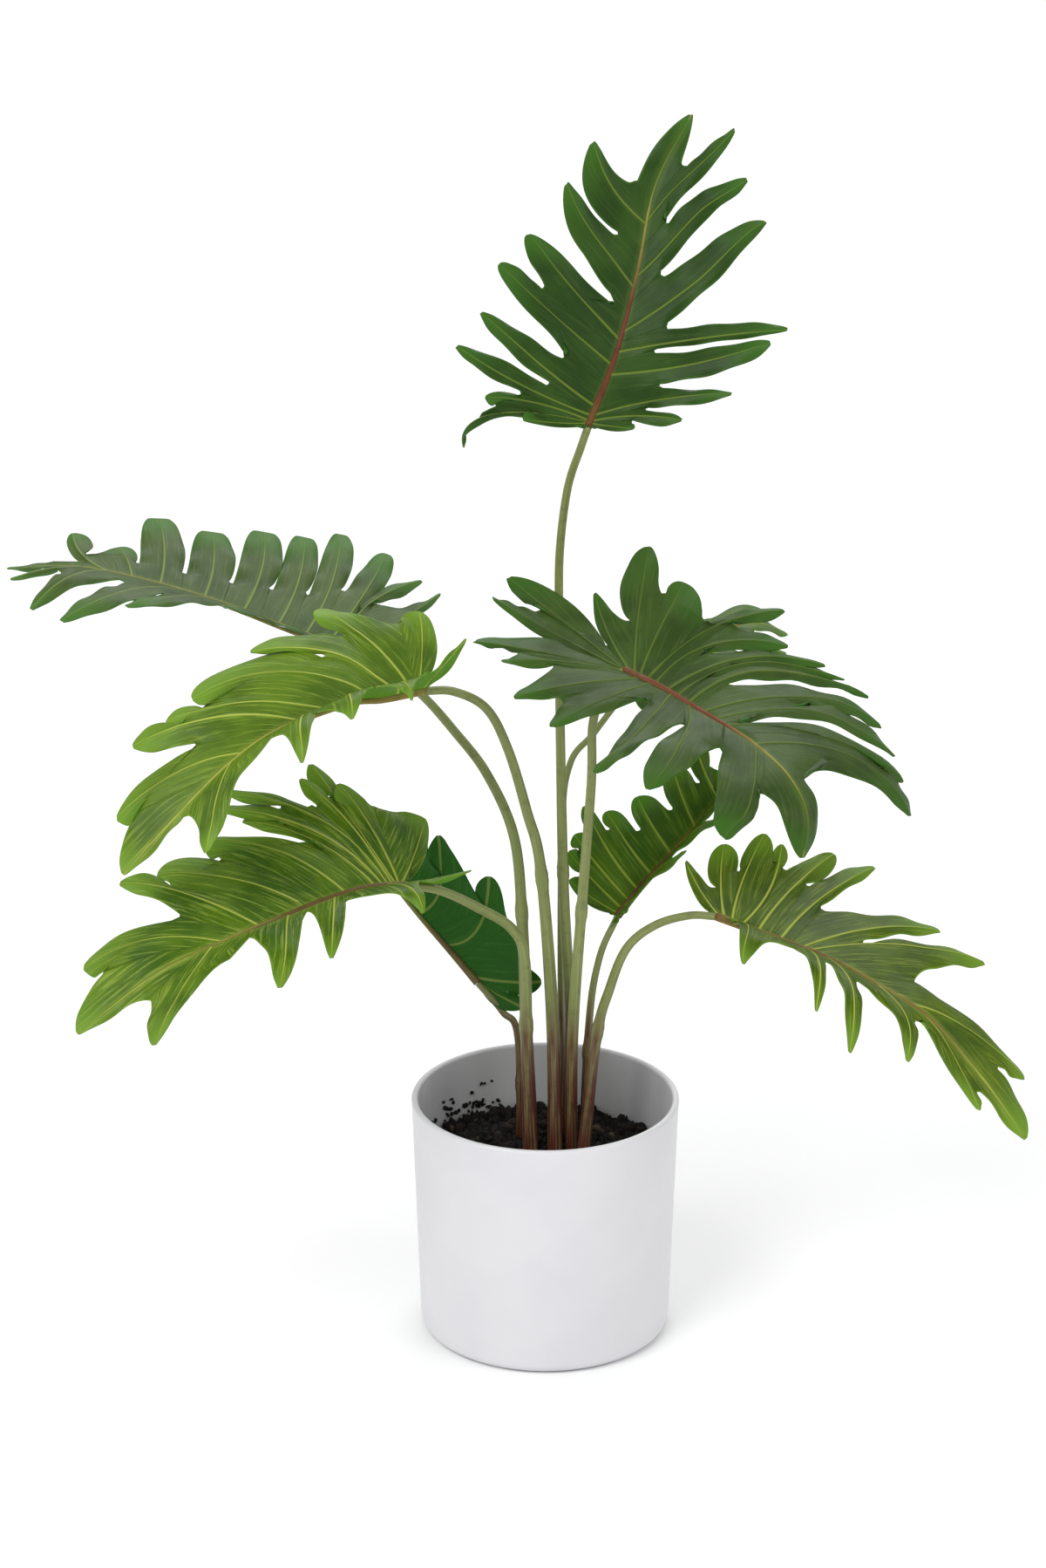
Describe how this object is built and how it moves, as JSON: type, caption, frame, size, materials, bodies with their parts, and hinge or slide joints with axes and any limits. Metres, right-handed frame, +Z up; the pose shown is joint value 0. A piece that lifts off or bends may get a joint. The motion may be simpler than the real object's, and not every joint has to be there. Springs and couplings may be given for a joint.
{
  "type": "potted winterbourn philodendron",
  "caption": "Bushy foliage plant with deeply cut, fingered leaves on long bare stalks, standing in soil in a plain tapered round pot.",
  "frame": {"origin": "centre of the pot's flat underside", "axes": "+Z up; +Y runs away from the side the plant is looked at from, +X to the right of that view"},
  "size_m": [0.4823, 0.2879, 0.5902],
  "materials": {
    "pot": "satin glazed ceramic",
    "soil": "crumbly potting soil",
    "stalk": "smooth green stalk, maroon at the foot",
    "leaf_deep": "satin dark green leaf",
    "leaf_bright": "satin yellow-green leaf",
    "leaf_shaded": "leaf underside, saturated green"
  },
  "bodies": {
    "root": {"pot": "pot", "soil": "soil", "stalk_crown": "stalk", "stalk_upper_left": "stalk", "stalk_left": "stalk", "stalk_lower_left": "stalk", "stalk_low_shaded": "stalk", "stalk_right_broad": "stalk", "stalk_middle_small": "stalk", "stalk_lower_right": "stalk", "stalk_rear": "stalk", "blade_crown": "leaf_deep", "blade_upper_left": "leaf_deep", "blade_left": "leaf_bright", "blade_lower_left": "leaf_bright", "blade_low_shaded": "leaf_shaded", "blade_right_broad": "leaf_deep", "blade_middle_small": "leaf_deep", "blade_lower_right": "leaf_bright", "blade_rear": "leaf_deep"}
  },
  "joints": []
}
